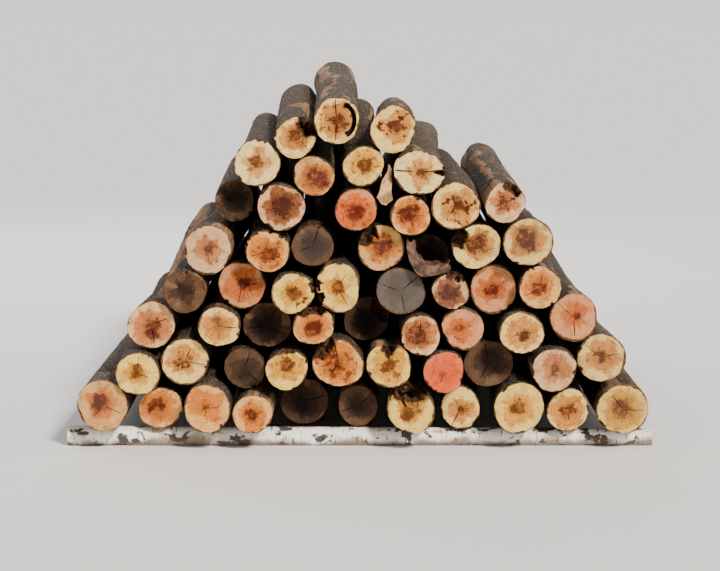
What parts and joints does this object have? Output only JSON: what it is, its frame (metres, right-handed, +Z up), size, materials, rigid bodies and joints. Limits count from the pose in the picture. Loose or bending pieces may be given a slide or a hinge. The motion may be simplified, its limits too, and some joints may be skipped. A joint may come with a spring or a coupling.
{
  "type": "stack of logs",
  "caption": "Free-standing stack of sawn-to-length softwood logs, laid in courses across two skid poles, with sloping ends.",
  "frame": {"origin": "middle of the stack's foot, on the ground", "axes": "+X to the right along the face of log ends, +Y along the logs away from that face, +Z up"},
  "size_m": [3.34, 4.124, 2.0951],
  "materials": {
    "log_wood": "rough bark, sawn ends",
    "skid_wood": "pale papery bark"
  },
  "bodies": {
    "root": {"log_01": "log_wood", "log_02": "log_wood", "log_03": "log_wood", "log_04": "log_wood", "log_05": "log_wood", "log_06": "log_wood", "log_07": "log_wood", "log_08": "log_wood", "log_09": "log_wood", "log_10": "log_wood", "log_11": "log_wood", "log_12": "log_wood", "log_13": "log_wood", "log_14": "log_wood", "log_15": "log_wood", "log_16": "log_wood", "log_17": "log_wood", "log_18": "log_wood", "log_19": "log_wood", "log_20": "log_wood", "log_21": "log_wood", "log_22": "log_wood", "log_23": "log_wood", "log_24": "log_wood", "log_25": "log_wood", "log_26": "log_wood", "log_27": "log_wood", "log_28": "log_wood", "log_29": "log_wood", "log_30": "log_wood", "log_31": "log_wood", "log_32": "log_wood", "log_33": "log_wood", "log_34": "log_wood", "log_35": "log_wood", "log_36": "log_wood", "log_37": "log_wood", "log_38": "log_wood", "log_39": "log_wood", "log_40": "log_wood", "log_41": "log_wood", "log_42": "log_wood", "log_43": "log_wood", "log_44": "log_wood", "log_45": "log_wood", "log_46": "log_wood", "log_47": "log_wood", "log_48": "log_wood", "log_49": "log_wood", "log_50": "log_wood", "log_51": "log_wood", "log_52": "log_wood", "log_53": "log_wood", "log_54": "log_wood", "log_55": "log_wood", "log_56": "log_wood", "log_57": "log_wood", "log_58": "log_wood", "back_skid": "skid_wood", "front_skid": "skid_wood"}
  },
  "joints": []
}
